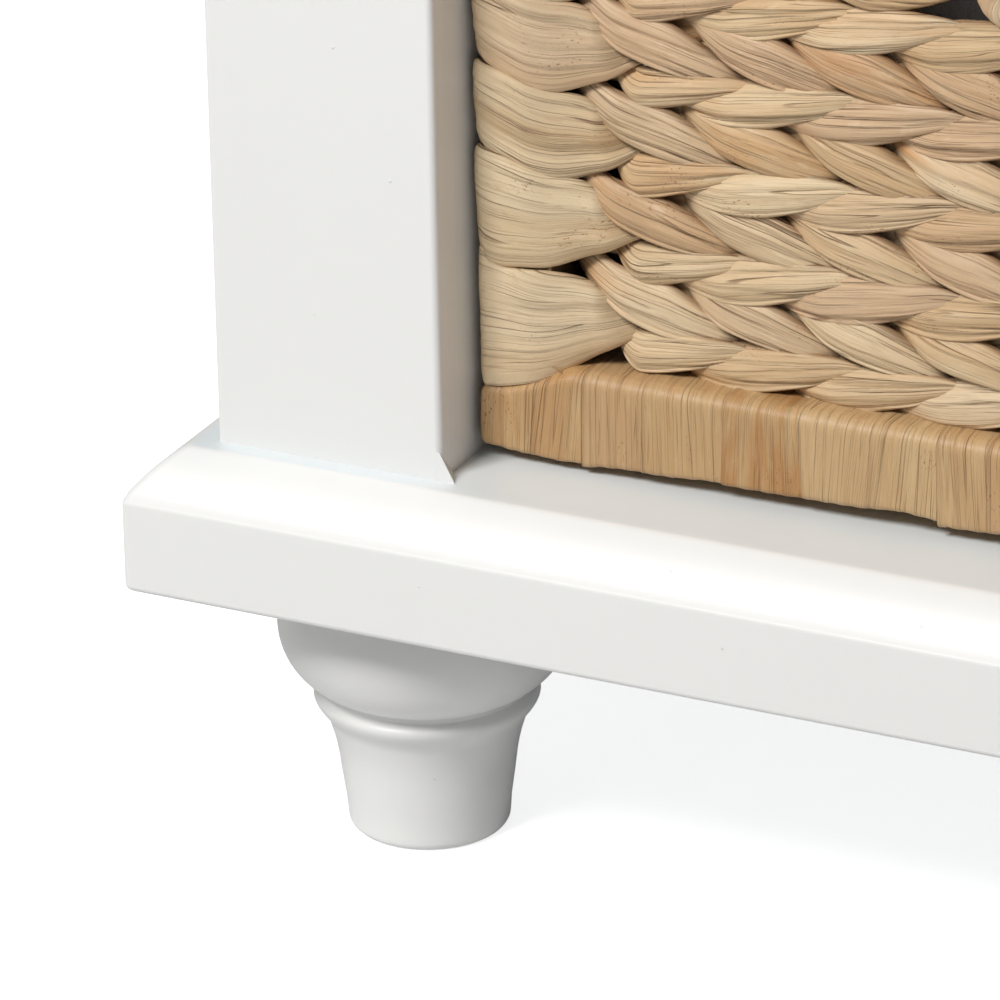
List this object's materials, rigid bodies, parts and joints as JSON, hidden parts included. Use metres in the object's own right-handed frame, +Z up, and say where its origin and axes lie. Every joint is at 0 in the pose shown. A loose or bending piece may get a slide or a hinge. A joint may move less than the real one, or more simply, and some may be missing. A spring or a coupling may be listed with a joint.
{
  "type": "entryway bench",
  "caption": "White painted entryway bench on turned feet, with cubbies under a cushioned seat and woven pull-out baskets with hand holes.",
  "frame": {"origin": "on the floor, in the middle of the bench's footprint", "axes": "+X along the bench to its right end as seen from the front, +Y from front to back, +Z up"},
  "size_m": [1.22, 0.4, 0.4527],
  "materials": {
    "white_paint": "satin white paint over wood",
    "raw_wood": "sanded, unfinished",
    "zinc_steel": "zinc plated",
    "hyacinth_braid": "dried flat leaf, twined, matt with a slight sheen",
    "hyacinth_wrap": "dried flat leaf, wrapped, slight sheen",
    "galvanised_wire": "dull galvanised",
    "liner_cloth": "plain cotton",
    "cushion_linen": "plain woven linen blend",
    "foam": "open cell foam",
    "zip_tape": "zip tape and coil"
  },
  "bodies": {
    "case": {"base_moulding_front": "white_paint", "base_moulding_left": "white_paint", "base_moulding_right": "white_paint", "base_rails": "white_paint", "base_cross_rails": "white_paint", "corner_blocks": "raw_wood", "foot_front_left": "white_paint", "foot_front_right": "white_paint", "foot_back_left": "white_paint", "foot_back_right": "white_paint", "foot_hanger_bolts": "zinc_steel", "foot_tee_nuts": "zinc_steel", "floor_board": "white_paint", "post_front_left": "white_paint", "post_front_right": "white_paint", "post_back_left": "white_paint", "post_back_right": "white_paint", "dowels": "raw_wood", "side_rails_bottom": "white_paint", "side_rails_top": "white_paint", "side_panel_left": "white_paint", "side_panel_right": "white_paint", "inner_wall_left": "white_paint", "inner_wall_right": "white_paint", "stile_left": "white_paint", "stile_right": "white_paint", "divider_left": "white_paint", "divider_right": "white_paint", "back_panel": "white_paint", "back_rails": "white_paint", "top_rail_front": "white_paint", "seat_blocks": "raw_wood", "seat_screws": "zinc_steel", "seat_board": "white_paint", "seat_mouldings": "white_paint"},
    "cushion": {"cushion_cover": "cushion_linen", "cushion_foam": "foam", "cushion_zip": "zip_tape"},
    "basket_left": {"basket_left_weave": "hyacinth_braid", "basket_left_floor": "hyacinth_braid", "basket_left_band": "hyacinth_wrap", "basket_left_rim": "hyacinth_wrap", "basket_left_frame": "raw_wood", "basket_left_stakes": "galvanised_wire", "basket_left_liner": "liner_cloth"},
    "basket_mid": {"basket_mid_weave": "hyacinth_braid", "basket_mid_floor": "hyacinth_braid", "basket_mid_band": "hyacinth_wrap", "basket_mid_rim": "hyacinth_wrap", "basket_mid_frame": "raw_wood", "basket_mid_stakes": "galvanised_wire", "basket_mid_liner": "liner_cloth"},
    "basket_right": {"basket_right_weave": "hyacinth_braid", "basket_right_floor": "hyacinth_braid", "basket_right_band": "hyacinth_wrap", "basket_right_rim": "hyacinth_wrap", "basket_right_frame": "raw_wood", "basket_right_stakes": "galvanised_wire", "basket_right_liner": "liner_cloth"}
  },
  "joints": [
    {"name": "cushion_lift", "type": "slide", "parent": "case", "child": "cushion", "axis": [0, 0, 1], "range_m": [0, 0.12]},
    {"name": "basket_left_slide", "type": "slide", "parent": "case", "child": "basket_left", "axis": [0, -1, 0], "range_m": [0, 0.36]},
    {"name": "basket_mid_slide", "type": "slide", "parent": "case", "child": "basket_mid", "axis": [0, -1, 0], "range_m": [0, 0.36]},
    {"name": "basket_right_slide", "type": "slide", "parent": "case", "child": "basket_right", "axis": [0, -1, 0], "range_m": [0, 0.36]}
  ]
}
